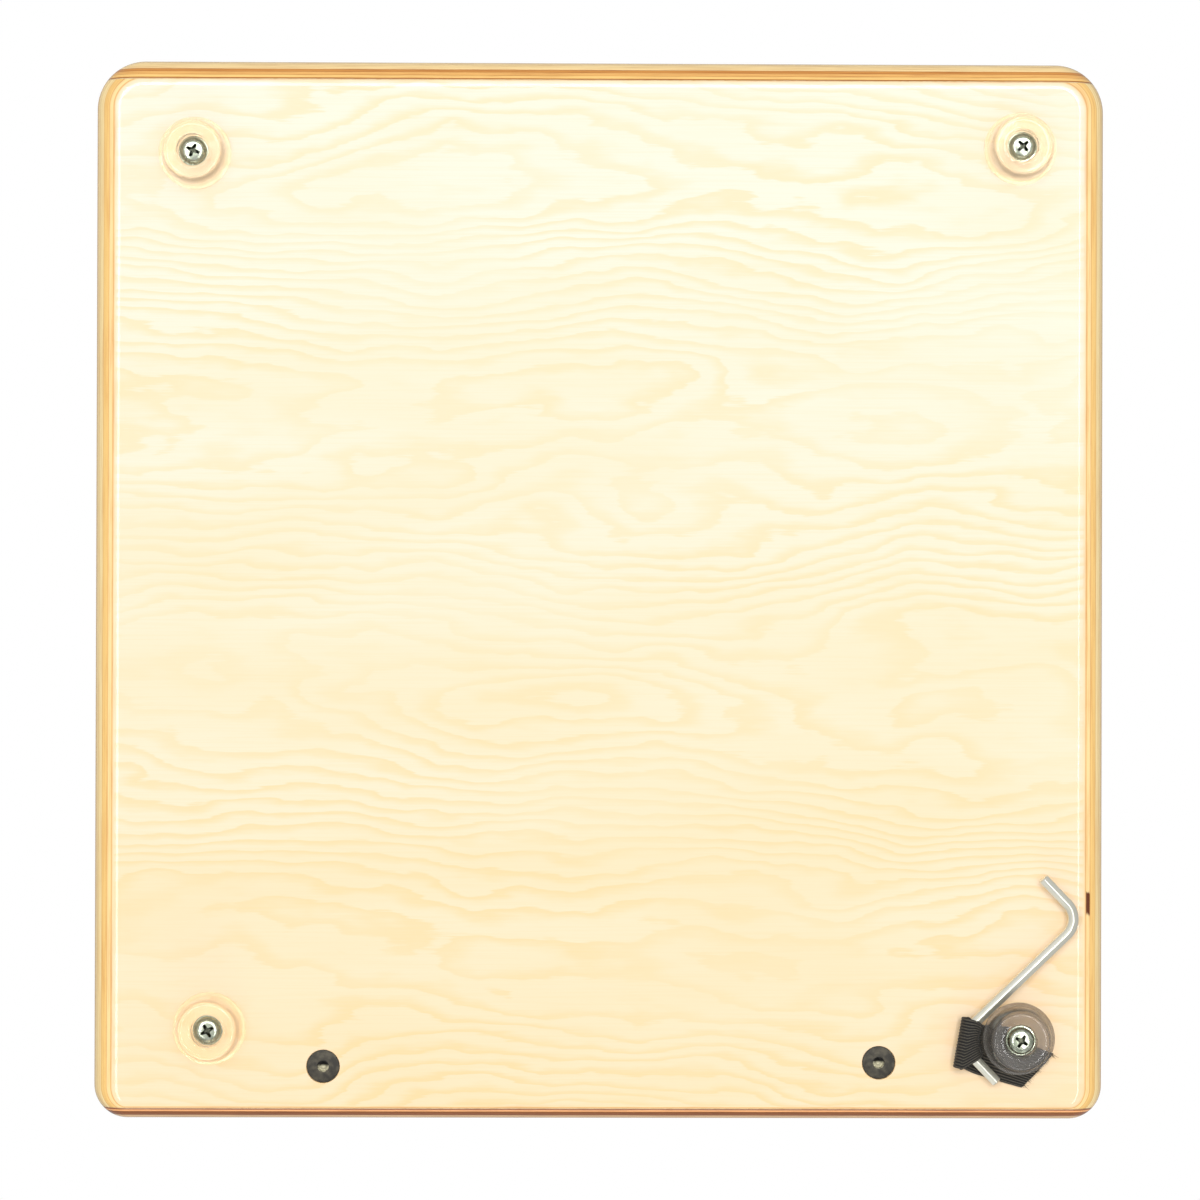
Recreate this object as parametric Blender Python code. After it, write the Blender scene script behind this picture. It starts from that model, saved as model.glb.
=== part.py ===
"""A cajon: a wooden box drum that the player sits on.

The box stands on four rubber feet, with its playing plate towards -Y and its sound hole towards +Y.
Snare strings run up behind the playing plate. Each pair hangs from posts at the top and ends in an
anchor at the bottom, and a screw that is reached from the underside pulls the anchor down to tune it.
The hex key for those screws is kept under the box, in an elastic loop that one of the feet clamps.

Lengths are in millimetres up to the helpers, which make metres. X runs across, Z up, floor at Z = 0.
"Left" is -X and "right" is +X, as seen by someone facing the playing plate.
"""

import math

import bmesh
import bpy
from mathutils import Vector

MM = 0.001

# ---------------------------------------------------------------- driving sizes

WIDTH, DEPTH, HEIGHT = 300.0, 314.4, 480.0  # overall, feet included
FOOT_HEIGHT = 11.0
GLUE_GAP = 0.3  # between pieces that touch or are glued

BOARD = 12.0  # seat, bottom and sides
FRONT_PLATE = 3.6
BACK_PLATE = 6.0
EDGE_ROUND = 8.0  # the round that runs along every outer edge at top and bottom
FRONT_EASE = 5.5  # how far the rounding reaches back from the playing plate
FRONT_CORNER, BACK_CORNER = 10.0, 14.5  # radii of the upright edges

BOX_BOTTOM, BOX_TOP = FOOT_HEIGHT, HEIGHT
FRONT_INNER = -DEPTH / 2 + FRONT_PLATE  # inner face of the playing plate
BACK_INNER = DEPTH / 2 - BACK_PLATE
BOARD_FRONT, BOARD_BACK = FRONT_INNER + GLUE_GAP, BACK_INNER - GLUE_GAP
FLOOR_TOP = BOX_BOTTOM + BOARD  # the bottom panel's upper face
CEILING = BOX_TOP - BOARD
SIDE_INNER = WIDTH / 2 - BOARD

SOUND_HOLE_RADIUS, SOUND_HOLE_HEIGHT = 60.0, 300.0

BATTEN = 18.0
BOTTOM_BATTEN_DEPTH, BOTTOM_BATTEN_HEIGHT = 25.5, 24.0

# Feet: plan position of each, and how far each is squeezed by what it clamps.
FEET = {
    "back_right": (120.2, 129.0, 0.0),
    "back_left": (-124.3, 131.2, 0.0),
    "front_right": (115.2, -129.9, 0.0),
    "front_left": (-124.2, -132.4, 2.0),
}
FOOT_FLANGE, FOOT_TIP = 10.7, 8.8  # outer radii
FOOT_BORE, FOOT_SCREW_HOLE = 4.75, 2.2
WASHER_RADIUS, WASHER_THICKNESS = 4.45, 0.8
PAN_HEAD_RADIUS, PAN_HEAD_HEIGHT = 4.0, 2.4
WOOD_SCREW_RADIUS = 1.9

# Tension screws: countersunk M5 with a 3 mm hex socket.
TENSION_SCREWS = {"left": (-83.0, -139.9), "right": (81.6, -141.2)}
M5_RADIUS, CSK_RADIUS = 2.5, 4.85
SCREW_TIP_Z = 72.0
ANCHOR_Z = 58.0  # middle of the anchor at rest
STRING_RADIUS = 0.35
STRING_SPREAD_BOTTOM, STRING_SPREAD_TOP = 7.0, 24.0
STRING_Y = FRONT_INNER + 1.6
POST_HEAD_RADIUS, POST_HEAD_HEIGHT = 3.0, 1.6

# Hex key: a rod bent twice, so that its two short arms point opposite ways.
KEY_FLATS = 3.0
KEY_BEND_RADIUS = 6.5
KEY_LOWER_BEND = (-105.8, -132.8)
KEY_MIDDLE_ANGLE = 136.2  # direction from the lower bend to the upper one, in degrees
KEY_MIDDLE, KEY_LOWER_ARM, KEY_UPPER_ARM = 51.5, 17.2, 16.8
KEY_Z = 7.95

# Elastic: a ribbed band folded in half, with both ends under the front left foot.
ELASTIC_THICKNESS = 0.7
ELASTIC_TOP_Z, ELASTIC_NEAR_Z = 10.35, 5.55  # middles of the layer on the wood and of the outer layer

# name: (colour, metallic, roughness)
MATERIALS = {
    "birch_board": ((0.80, 0.66, 0.45), 0.0, 0.35),
    "front_plate_wood": ((0.55, 0.30, 0.16), 0.0, 0.35),
    "back_plate_wood": ((0.70, 0.50, 0.28), 0.0, 0.35),
    "pine_batten": ((0.76, 0.60, 0.38), 0.0, 0.6),
    "clear_rubber": ((0.80, 0.72, 0.62), 0.0, 0.3),
    "zinc": ((0.70, 0.72, 0.70), 1.0, 0.25),
    "black_oxide": ((0.05, 0.05, 0.05), 0.6, 0.4),
    "string_steel": ((0.60, 0.60, 0.58), 1.0, 0.3),
    "black_elastic": ((0.02, 0.02, 0.02), 0.0, 0.8),
}


# ---------------------------------------------------------------- helpers


def clear_scene():
    for obj in list(bpy.data.objects):
        bpy.data.objects.remove(obj, do_unlink=True)


def make_materials():
    made = {}
    for name, (colour, metallic, roughness) in MATERIALS.items():
        material = bpy.data.materials.new(name)
        material.use_nodes = True
        shader = material.node_tree.nodes["Principled BSDF"]
        shader.inputs["Base Color"].default_value = (*colour, 1.0)
        shader.inputs["Metallic"].default_value = metallic
        shader.inputs["Roughness"].default_value = roughness
        made[name] = material
    return made


def add_object(name, vertices, faces, material=None, at=(0, 0, 0), smooth=False):
    """One named object from vertices in mm about its own origin, which stands at `at`."""
    mesh = bpy.data.meshes.new(name)
    mesh.from_pydata([Vector(v) * MM for v in vertices], [], faces)
    work = bmesh.new()
    work.from_mesh(mesh)
    bmesh.ops.recalc_face_normals(work, faces=work.faces)
    work.to_mesh(mesh)
    work.free()
    if smooth:
        mesh.polygons.foreach_set("use_smooth", [True] * len(mesh.polygons))
        mesh.set_sharp_from_angle(angle=math.radians(35))
    obj = bpy.data.objects.new(name, mesh)
    obj.location = Vector(at) * MM
    bpy.context.collection.objects.link(obj)
    if material:
        mesh.materials.append(material)
    return obj


def box(name, low, high, material=None):
    """A box between two corners, with its origin in its middle."""
    middle = [(a + b) / 2 for a, b in zip(low, high)]
    half = [(b - a) / 2 for a, b in zip(low, high)]
    corners = [
        (sx * half[0], sy * half[1], sz * half[2])
        for sx in (-1, 1)
        for sy in (-1, 1)
        for sz in (-1, 1)
    ]
    faces = [(0, 1, 3, 2), (4, 6, 7, 5), (0, 4, 5, 1), (2, 3, 7, 6), (0, 2, 6, 4), (1, 5, 7, 3)]
    return add_object(name, corners, faces, material, middle)


def lathe(name, profile, material=None, at=(0, 0, 0), segments=32, ring=False):
    """Turns (radius, z) points about the Z axis. A ring's profile is a loop clear of the axis."""
    vertices, rows = [], []
    for radius, z in profile:
        if radius < 1e-6:
            rows.append([len(vertices)] * segments)
            vertices.append((0, 0, z))
            continue
        rows.append(list(range(len(vertices), len(vertices) + segments)))
        for k in range(segments):
            turn = 2 * math.pi * k / segments
            vertices.append((radius * math.cos(turn), radius * math.sin(turn), z))
    faces = []
    pairs = list(zip(rows, rows[1:])) + ([(rows[-1], rows[0])] if ring else [])
    for row, following in pairs:
        for k in range(segments):
            n = (k + 1) % segments
            corners = [row[k], row[n], following[n], following[k]]
            corners = list(dict.fromkeys(corners))
            if len(corners) > 2:
                faces.append(corners)
    return add_object(name, vertices, faces, material, at, smooth=True)


def prism(name, outline, z_low, z_high, at=(0, 0, 0), material=None):
    """A plan outline pulled up from one height to another."""
    count = len(outline)
    vertices = [(x, y, z) for z in (z_low, z_high) for x, y in outline]
    faces = [tuple(range(count)), tuple(range(count, 2 * count))]
    for k in range(count):
        n = (k + 1) % count
        faces.append((k, n, n + count, k + count))
    return add_object(name, vertices, faces, material, at)


def as_cutter(obj):
    obj.hide_render = True
    obj.display_type = "WIRE"
    return obj


def combine(obj, cutter, operation="DIFFERENCE"):
    modifier = obj.modifiers.new("cut_" + cutter.name, "BOOLEAN")
    modifier.operation = operation
    modifier.solver = "EXACT"
    modifier.object = cutter


def regular_outline(sides, across_flats):
    reach = across_flats / 2 / math.cos(math.pi / sides)
    return [
        (reach * math.cos(2 * math.pi * k / sides), reach * math.sin(2 * math.pi * k / sides))
        for k in range(sides)
    ]


def cross_outline(reach, arm):
    """A plus sign: four arms of one width that reach equally far."""
    corner = [(reach, -arm / 2), (reach, arm / 2), (arm / 2, arm / 2)]
    outline = []
    for quarter in range(4):
        c, s = math.cos(quarter * math.pi / 2), math.sin(quarter * math.pi / 2)
        outline += [(c * x - s * y, s * x + c * y) for x, y in corner]
    return outline


# ---------------------------------------------------------------- the wooden box


def rounded_box_ring(inset, z, steps=8):
    """The box's outline at one height, moved inwards by `inset`."""
    corners = [
        (1, 1, BACK_CORNER, 0),
        (-1, 1, BACK_CORNER, 90),
        (-1, -1, FRONT_CORNER, 180),
        (1, -1, FRONT_CORNER, 270),
    ]
    ring = []
    for sx, sy, radius, start in corners:
        cx, cy = sx * (WIDTH / 2 - radius), sy * (DEPTH / 2 - radius)
        for k in range(steps + 1):
            turn = math.radians(start + 90 * k / steps)
            inset_y = inset if sy > 0 else inset * FRONT_EASE / EDGE_ROUND
            ring.append((cx + (radius - inset) * math.cos(turn), cy + (radius - inset_y) * math.sin(turn), z))
    return ring


def box_envelope():
    """The finished outside of the box. Every outer board is cut to it."""
    steps = 6
    levels = []
    for k in range(steps + 1):
        turn = math.pi / 2 * k / steps
        levels.append((EDGE_ROUND * (1 - math.sin(turn)), EDGE_ROUND * (1 - math.cos(turn))))
    heights = [(inset, BOX_BOTTOM + rise) for inset, rise in levels]
    heights += [(inset, BOX_TOP - rise) for inset, rise in reversed(levels)]
    vertices, faces, count = [], [], 0
    for inset, z in heights:
        ring = rounded_box_ring(inset, z)
        count = len(ring)
        vertices += ring
    for row in range(len(heights) - 1):
        for k in range(count):
            n = (k + 1) % count
            a, b = row * count, (row + 1) * count
            faces.append((a + k, a + n, b + n, b + k))
    faces.append(tuple(range(count)))
    faces.append(tuple(range(len(vertices) - count, len(vertices))))
    return as_cutter(add_object("box_envelope", vertices, faces))


def make_boards(envelope, materials):
    birch = materials["birch_board"]
    half = WIDTH / 2
    boards = [
        box("bottom_panel", (-half, BOARD_FRONT, BOX_BOTTOM), (half, BOARD_BACK, FLOOR_TOP), birch),
        box("seat_panel", (-half, BOARD_FRONT, CEILING), (half, BOARD_BACK, BOX_TOP), birch),
    ]
    for side, sign in (("left", -1), ("right", 1)):
        x = sorted((sign * half, sign * SIDE_INNER))
        low = (x[0], BOARD_FRONT, FLOOR_TOP + GLUE_GAP)
        high = (x[1], BOARD_BACK, CEILING - GLUE_GAP)
        boards.append(box(f"{side}_side_panel", low, high, birch))
    front = box(
        "front_plate",
        (-half, -DEPTH / 2, BOX_BOTTOM),
        (half, FRONT_INNER, BOX_TOP),
        materials["front_plate_wood"],
    )
    back = box(
        "back_panel",
        (-half, BACK_INNER, BOX_BOTTOM),
        (half, DEPTH / 2, BOX_TOP),
        materials["back_plate_wood"],
    )
    for board in boards + [front, back]:
        combine(board, envelope, "INTERSECT")
    combine(back, sound_hole_cutter())
    return boards[0]


def sound_hole_cutter():
    profile = [(0, -BACK_PLATE), (SOUND_HOLE_RADIUS, -BACK_PLATE)]
    profile += [(SOUND_HOLE_RADIUS, BACK_PLATE), (0, BACK_PLATE)]
    cutter = lathe("sound_hole_cutter", profile, segments=64)
    cutter.rotation_euler = (math.pi / 2, 0, 0)
    cutter.location = Vector((0, DEPTH / 2 - BACK_PLATE / 2, SOUND_HOLE_HEIGHT)) * MM
    return as_cutter(cutter)


def make_battens(materials):
    """Strips behind the playing plate. The upright ones fit between the other two."""
    pine = materials["pine_batten"]
    reach = SIDE_INNER - GLUE_GAP
    bottom_top = FLOOR_TOP + GLUE_GAP + BOTTOM_BATTEN_HEIGHT
    top_bottom = CEILING - GLUE_GAP - BATTEN
    bottom = box(
        "front_bottom_batten",
        (-reach, BOARD_FRONT, FLOOR_TOP + GLUE_GAP),
        (reach, BOARD_FRONT + BOTTOM_BATTEN_DEPTH, bottom_top),
        pine,
    )
    box(
        "front_top_batten",
        (-reach, BOARD_FRONT, top_bottom),
        (reach, BOARD_FRONT + BATTEN, CEILING - GLUE_GAP),
        pine,
    )
    for side, sign in (("left", -1), ("right", 1)):
        x = sorted((sign * reach, sign * (reach - BATTEN)))
        low = (x[0], BOARD_FRONT, bottom_top + GLUE_GAP)
        high = (x[1], BOARD_FRONT + BATTEN, top_bottom - GLUE_GAP)
        box(f"front_{side}_batten", low, high, pine)
    return bottom, top_bottom


# ---------------------------------------------------------------- feet


def make_foot(name, x, y, squeeze, bottom_panel, materials):
    """A turned rubber foot, its washer, and the pan-head screw that holds it to the bottom."""
    top = BOX_BOTTOM - GLUE_GAP - squeeze
    flange_bottom = top - 1.5
    recess_floor = top - 4.7
    body = [
        (FOOT_SCREW_HOLE, top),
        (FOOT_FLANGE - 0.6, top),
        (FOOT_FLANGE - 0.15, top - 0.2),
        (FOOT_FLANGE, top - 0.6),
        (FOOT_FLANGE, flange_bottom),
        (FOOT_FLANGE - 0.9, flange_bottom - 0.4),
        (FOOT_TIP + 0.1, 2.0),
        (FOOT_TIP - 0.1, 1.1),
        (FOOT_TIP - 0.5, 0.4),
        (FOOT_TIP - 1.2, 0.0),
        (FOOT_BORE + 0.4, 0.0),
        (FOOT_BORE, 0.4),
        (FOOT_BORE, recess_floor),
        (FOOT_SCREW_HOLE, recess_floor),
    ]
    at = (x, y, 0)
    lathe(f"foot_{name}", body, materials["clear_rubber"], at, segments=40, ring=True)

    washer_top = recess_floor - GLUE_GAP
    washer_bottom = washer_top - WASHER_THICKNESS
    washer = [
        (FOOT_SCREW_HOLE, washer_top),
        (WASHER_RADIUS, washer_top),
        (WASHER_RADIUS, washer_bottom),
        (FOOT_SCREW_HOLE, washer_bottom),
    ]
    lathe(f"foot_washer_{name}", washer, materials["zinc"], at, ring=True)

    seat = washer_bottom - GLUE_GAP
    head = seat - PAN_HEAD_HEIGHT
    tip = BOX_BOTTOM + 9.0
    screw = [
        (0, tip),
        (WOOD_SCREW_RADIUS * 0.55, tip - 1.5),
        (WOOD_SCREW_RADIUS, tip - 3.5),
        (WOOD_SCREW_RADIUS, seat),
        (PAN_HEAD_RADIUS, seat),
        (PAN_HEAD_RADIUS, seat - 0.9),
        (PAN_HEAD_RADIUS * 0.93, head + 0.7),
        (PAN_HEAD_RADIUS * 0.72, head + 0.2),
        (PAN_HEAD_RADIUS * 0.4, head),
        (0, head),
    ]
    obj = lathe(f"foot_screw_{name}", screw, materials["zinc"], at)
    recess = prism(f"foot_recess_cutter_{name}", cross_outline(2.1, 0.9), head - 1, head + 1.5, at)
    combine(obj, as_cutter(recess))

    hole = [(0, BOX_BOTTOM - 1), (FOOT_SCREW_HOLE, BOX_BOTTOM - 1)]
    hole += [(FOOT_SCREW_HOLE, tip + 0.2), (0, tip + 0.5)]
    combine(bottom_panel, as_cutter(lathe(f"foot_hole_cutter_{name}", hole, at=at, segments=24)))


# ---------------------------------------------------------------- snare strings and tuning


def make_tuner(side, x, y, bottom_panel, batten, batten_bottom, materials):
    """One screw, the anchor it draws down, and the two strings that run up to their posts."""
    head = BOX_BOTTOM + 0.2
    cone = CSK_RADIUS - M5_RADIUS
    screw = [
        (0, head),
        (CSK_RADIUS - 0.15, head),
        (CSK_RADIUS, head + 0.2),
        (M5_RADIUS, head + 0.2 + cone),
        (M5_RADIUS, SCREW_TIP_Z - 0.8),
        (M5_RADIUS - 0.8, SCREW_TIP_Z),
        (0, SCREW_TIP_Z),
    ]
    at = (x, y, 0)
    obj = lathe(f"tension_screw_{side}", screw, materials["black_oxide"], at)
    socket = prism(f"socket_cutter_{side}", regular_outline(6, KEY_FLATS), head - 1, head + 2.2, at)
    combine(obj, as_cutter(socket))

    wide, bore = CSK_RADIUS + GLUE_GAP, M5_RADIUS + GLUE_GAP
    hole = [
        (0, BOX_BOTTOM - 1),
        (wide, BOX_BOTTOM - 1),
        (wide, head + 0.25),
        (bore, head + 0.25 + wide - bore),
        (bore, FLOOR_TOP + BOTTOM_BATTEN_HEIGHT + 3),
        (0, FLOOR_TOP + BOTTOM_BATTEN_HEIGHT + 3),
    ]
    cutter = as_cutter(lathe(f"tension_hole_cutter_{side}", hole, at=at, segments=32))
    combine(bottom_panel, cutter)
    combine(batten, cutter)

    low, high = ANCHOR_Z - 5.0, ANCHOR_Z + 5.0
    anchor_front = STRING_Y - 0.9
    anchor = box(
        f"string_anchor_{side}",
        (x - 11, anchor_front, low),
        (x + 11, y + 5.5, high),
        materials["zinc"],
    )
    thread = [(0, low - 2), (M5_RADIUS + 0.1, low - 2), (M5_RADIUS + 0.1, high + 2), (0, high + 2)]
    combine(anchor, as_cutter(lathe(f"anchor_thread_cutter_{side}", thread, at=at)))

    for place, sign in (("outer", math.copysign(1, x)), ("inner", -math.copysign(1, x))):
        foot = Vector((x + sign * STRING_SPREAD_BOTTOM, STRING_Y, high + GLUE_GAP))
        top_x = x + sign * STRING_SPREAD_TOP
        make_post_and_string(f"{side}_{place}", foot, top_x, batten_bottom, materials)


def make_post_and_string(name, foot, top_x, batten_bottom, materials):
    """A small post under the top batten, and the string that hangs from it down to the anchor."""
    head_bottom = batten_bottom - GLUE_GAP - POST_HEAD_HEIGHT
    y = BOARD_FRONT + POST_HEAD_RADIUS
    post = [
        (0, head_bottom),
        (POST_HEAD_RADIUS - 0.5, head_bottom),
        (POST_HEAD_RADIUS, head_bottom + 0.5),
        (POST_HEAD_RADIUS, batten_bottom - GLUE_GAP),
        (0, batten_bottom - GLUE_GAP),
    ]
    lathe(f"string_post_{name}", post, materials["zinc"], (top_x, y, 0), segments=20)

    end = Vector((top_x, STRING_Y, head_bottom - GLUE_GAP))
    sides, vertices = 8, []
    for centre in (foot, end):
        for k in range(sides):
            turn = 2 * math.pi * k / sides
            offset = Vector((math.cos(turn), math.sin(turn), 0)) * STRING_RADIUS
            vertices.append(centre + offset)
    faces = [tuple(range(sides)), tuple(range(sides, 2 * sides))]
    for k in range(sides):
        n = (k + 1) % sides
        faces.append((k, n, n + sides, k + sides))
    vertices = [v - end for v in vertices]
    add_object(f"string_{name}", vertices, faces, materials["string_steel"], end, smooth=True)


# ---------------------------------------------------------------- hex key and its elastic loop


def key_path():
    """The key's centre line in plan, as points and unit directions, from lower end to upper end."""
    turn = math.radians(KEY_MIDDLE_ANGLE)
    along = Vector((math.cos(turn), math.sin(turn)))
    arm = Vector((-along.y, along.x))  # the way the lower arm points from its bend
    lower = Vector(KEY_LOWER_BEND)
    upper = lower + along * KEY_MIDDLE
    path = [(lower + arm * KEY_LOWER_ARM, -arm)]
    path += bend(lower, -arm, along)
    path += bend(upper, along, -arm)
    path.append((upper - arm * KEY_UPPER_ARM, -arm))
    return path


def bend(corner, incoming, outgoing, steps=8):
    """A quarter turn that leaves one straight and joins the next."""
    start = corner - incoming * KEY_BEND_RADIUS
    centre = start + outgoing * KEY_BEND_RADIUS
    points = []
    for k in range(steps + 1):
        turn = math.pi / 2 * k / steps
        c, s = math.cos(turn), math.sin(turn)
        points.append((centre - outgoing * KEY_BEND_RADIUS * c + incoming * KEY_BEND_RADIUS * s,
                       incoming * c + outgoing * s))
    return points


def make_hex_key(materials):
    """The rod has two of its edges straight up and down, so its flats face sideways."""
    section = regular_outline(6, KEY_FLATS)
    section = [(across, up) for up, across in section]
    vertices, faces = [], []
    path = key_path()
    origin = Vector((*KEY_LOWER_BEND, KEY_Z))
    for point, direction in path:
        side = Vector((-direction.y, direction.x))
        for across, up in section:
            place = point + side * across
            vertices.append(Vector((place.x, place.y, KEY_Z + up)) - origin)
    count = len(section)
    for row in range(len(path) - 1):
        for k in range(count):
            n = (k + 1) % count
            a, b = row * count, (row + 1) * count
            faces.append((a + k, a + n, b + n, b + k))
    faces.append(tuple(range(count)))
    faces.append(tuple(range(len(vertices) - count, len(vertices))))
    add_object("hex_key", vertices, faces, materials["zinc"], origin, smooth=True)


def elastic_stations():
    """Places along the band: plan points of its back edge, middle and front edge, and a height."""
    back, front = Vector((-107.6, -126.0)), Vector((-105.0, -140.8))  # the two ends of the fold
    outward = Vector((0.984, 0.177))
    middle = (back + front) / 2
    stations = [
        (Vector((-134.8, -137.0)), Vector((-130.2, -142.2)), Vector((-125.3, -147.1)), ELASTIC_TOP_Z),
        (Vector((-122.0, -131.9)), Vector((-120.3, -138.6)), Vector((-118.6, -145.2)), ELASTIC_TOP_Z),
        (Vector((-114.0, -128.6)), Vector((-112.8, -135.9)), Vector((-111.4, -143.0)), ELASTIC_TOP_Z),
    ]
    radius = (ELASTIC_TOP_Z - ELASTIC_NEAR_Z) / 2
    for k in range(9):
        turn = math.pi / 2 - math.pi * k / 8
        shift = outward * radius * (math.cos(turn) - 1)
        z = ELASTIC_NEAR_Z + radius * (1 + math.sin(turn))
        stations.append((back + shift, middle + shift, front + shift, z))
    # the outer layer goes over the key, dips beside the foot's rim and ends under the foot
    for back_x, middle_x, front_x, back_y, front_y, z in (
        (-111.6, -110.9, -111.4, -127.0, -138.9, 5.65),
        (-113.0, -111.9, -112.8, -127.9, -137.9, 6.4),
        (-113.5, -112.2, -113.2, -128.2, -137.6, 7.9),
        (-114.0, -112.6, -113.7, -128.5, -137.2, 9.15),
        (-116.2, -114.6, -116.0, -128.7, -136.9, 9.35),
        (-121.0, -120.4, -121.0, -128.7, -137.0, 9.35),
        (-127.8, -127.8, -127.8, -129.0, -137.0, 9.35),
    ):
        middle_y = (back_y + front_y) / 2
        points = (back_x, back_y), (middle_x, middle_y), (front_x, front_y)
        stations.append((*(Vector(p) for p in points), z))
    return stations


def make_elastic(materials):
    """The band as one closed strip, thickened both ways from its middle surface."""
    across = [k / 4 for k in range(5)]
    rows = []
    for back, middle, front, z in elastic_stations():
        row = []
        for t in across:
            plan = back * (1 - t) * (1 - 2 * t) + middle * 4 * t * (1 - t) + front * t * (2 * t - 1)
            row.append(Vector((plan.x, plan.y, z)))
        rows.append(row)
    count, columns = len(rows), len(across)
    tops, bottoms = [], []
    for i in range(count):
        for j in range(columns):
            along = rows[min(i + 1, count - 1)][j] - rows[max(i - 1, 0)][j]
            over = rows[i][min(j + 1, columns - 1)] - rows[i][max(j - 1, 0)]
            normal = along.cross(over).normalized() * ELASTIC_THICKNESS / 2
            tops.append(rows[i][j] + normal)
            bottoms.append(rows[i][j] - normal)
    origin = Vector((FEET["front_left"][0], FEET["front_left"][1], ELASTIC_TOP_Z))
    vertices = [v - origin for v in tops + bottoms]
    shift = len(tops)
    faces = []
    for i in range(count - 1):
        for j in range(columns - 1):
            a, b = i * columns + j, (i + 1) * columns + j
            faces.append((a, a + 1, b + 1, b))
            faces.append((shift + a, shift + b, shift + b + 1, shift + a + 1))
    rim = [i * columns for i in range(count)]
    rim += [(count - 1) * columns + j for j in range(1, columns)]
    rim += [i * columns + columns - 1 for i in range(count - 2, -1, -1)]
    rim += [j for j in range(columns - 2, 0, -1)]
    for k in range(len(rim)):
        a, b = rim[k], rim[(k + 1) % len(rim)]
        faces.append((a, b, shift + b, shift + a))
    band = add_object("elastic_loop", vertices, faces, materials["black_elastic"], origin, smooth=True)
    x, y, _ = FEET["front_left"]
    hole = [(0, 8.0), (FOOT_SCREW_HOLE, 8.0), (FOOT_SCREW_HOLE, 12.0), (0, 12.0)]
    combine(band, as_cutter(lathe("elastic_hole_cutter", hole, at=(x, y, 0), segments=24)))


# ---------------------------------------------------------------- build


def build():
    clear_scene()
    materials = make_materials()
    bottom_panel = make_boards(box_envelope(), materials)
    bottom_batten, top_batten_bottom = make_battens(materials)
    for name, (x, y, squeeze) in FEET.items():
        make_foot(name, x, y, squeeze, bottom_panel, materials)
    for side, (x, y) in TENSION_SCREWS.items():
        make_tuner(side, x, y, bottom_panel, bottom_batten, top_batten_bottom, materials)
    make_elastic(materials)
    make_hex_key(materials)


build()
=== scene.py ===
"""Looks for the cajon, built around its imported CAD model.

The photograph shows the underside seen straight on, so the camera stands below the drum and looks up.
Lengths are in metres. Colours are named as sRGB values from 0 to 255 and turned to linear by rgb().
"""

import math
import random

import bmesh
import bpy
from mathutils import Matrix, Vector


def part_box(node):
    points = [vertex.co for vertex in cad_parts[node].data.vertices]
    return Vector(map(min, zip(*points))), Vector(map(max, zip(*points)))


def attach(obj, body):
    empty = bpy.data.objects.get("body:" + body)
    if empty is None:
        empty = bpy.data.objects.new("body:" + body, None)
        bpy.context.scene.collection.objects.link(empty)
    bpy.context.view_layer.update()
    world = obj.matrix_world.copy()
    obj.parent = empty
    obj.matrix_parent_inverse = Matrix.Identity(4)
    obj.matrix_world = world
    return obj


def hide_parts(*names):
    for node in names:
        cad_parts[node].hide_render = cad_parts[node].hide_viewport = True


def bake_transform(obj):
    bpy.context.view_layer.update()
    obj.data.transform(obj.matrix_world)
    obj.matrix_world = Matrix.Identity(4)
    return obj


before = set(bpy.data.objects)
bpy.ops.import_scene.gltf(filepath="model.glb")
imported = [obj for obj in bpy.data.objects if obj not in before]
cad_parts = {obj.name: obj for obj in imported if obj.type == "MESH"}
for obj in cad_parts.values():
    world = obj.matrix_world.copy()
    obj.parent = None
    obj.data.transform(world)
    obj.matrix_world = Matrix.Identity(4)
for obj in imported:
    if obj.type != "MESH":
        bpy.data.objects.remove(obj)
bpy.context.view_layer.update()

MM = 0.001

# ---------------------------------------------------------------- sizes read from the frame

LOW, HIGH = (Vector(corner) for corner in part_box("front_plate"))
BACK_LOW, BACK_HIGH = (Vector(corner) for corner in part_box("back_panel"))
BOARD_LOW, BOARD_HIGH = (Vector(corner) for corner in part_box("bottom_panel"))
HALF_WIDTH = BOARD_HIGH.x
FRONT, BACK = LOW.y, BACK_HIGH.y
BOX_BOTTOM = BOARD_LOW.z
BOX_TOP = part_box("seat_panel")[1][2]
FRONT_INNER, BACK_INNER = HIGH.y, BACK_LOW.y
FLOOR_TOP = BOARD_HIGH.z

EDGE_ROUND = 8 * MM
FRONT_EASE = 5.5 * MM  # how far the rounding reaches back from the playing plate
FRONT_CORNER, BACK_CORNER = 10 * MM, 14.5 * MM
SOUND_HOLE_RADIUS, SOUND_HOLE_HEIGHT = 60 * MM, 300 * MM
SEAM = 0.05 * MM  # what is left between glued boards


# ---------------------------------------------------------------- shader graphs


def rgb(red, green, blue):
    def linear(value):
        value /= 255
        return value / 12.92 if value <= 0.04045 else ((value + 0.055) / 1.055) ** 2.4

    return (linear(red), linear(green), linear(blue), 1.0)


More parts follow.
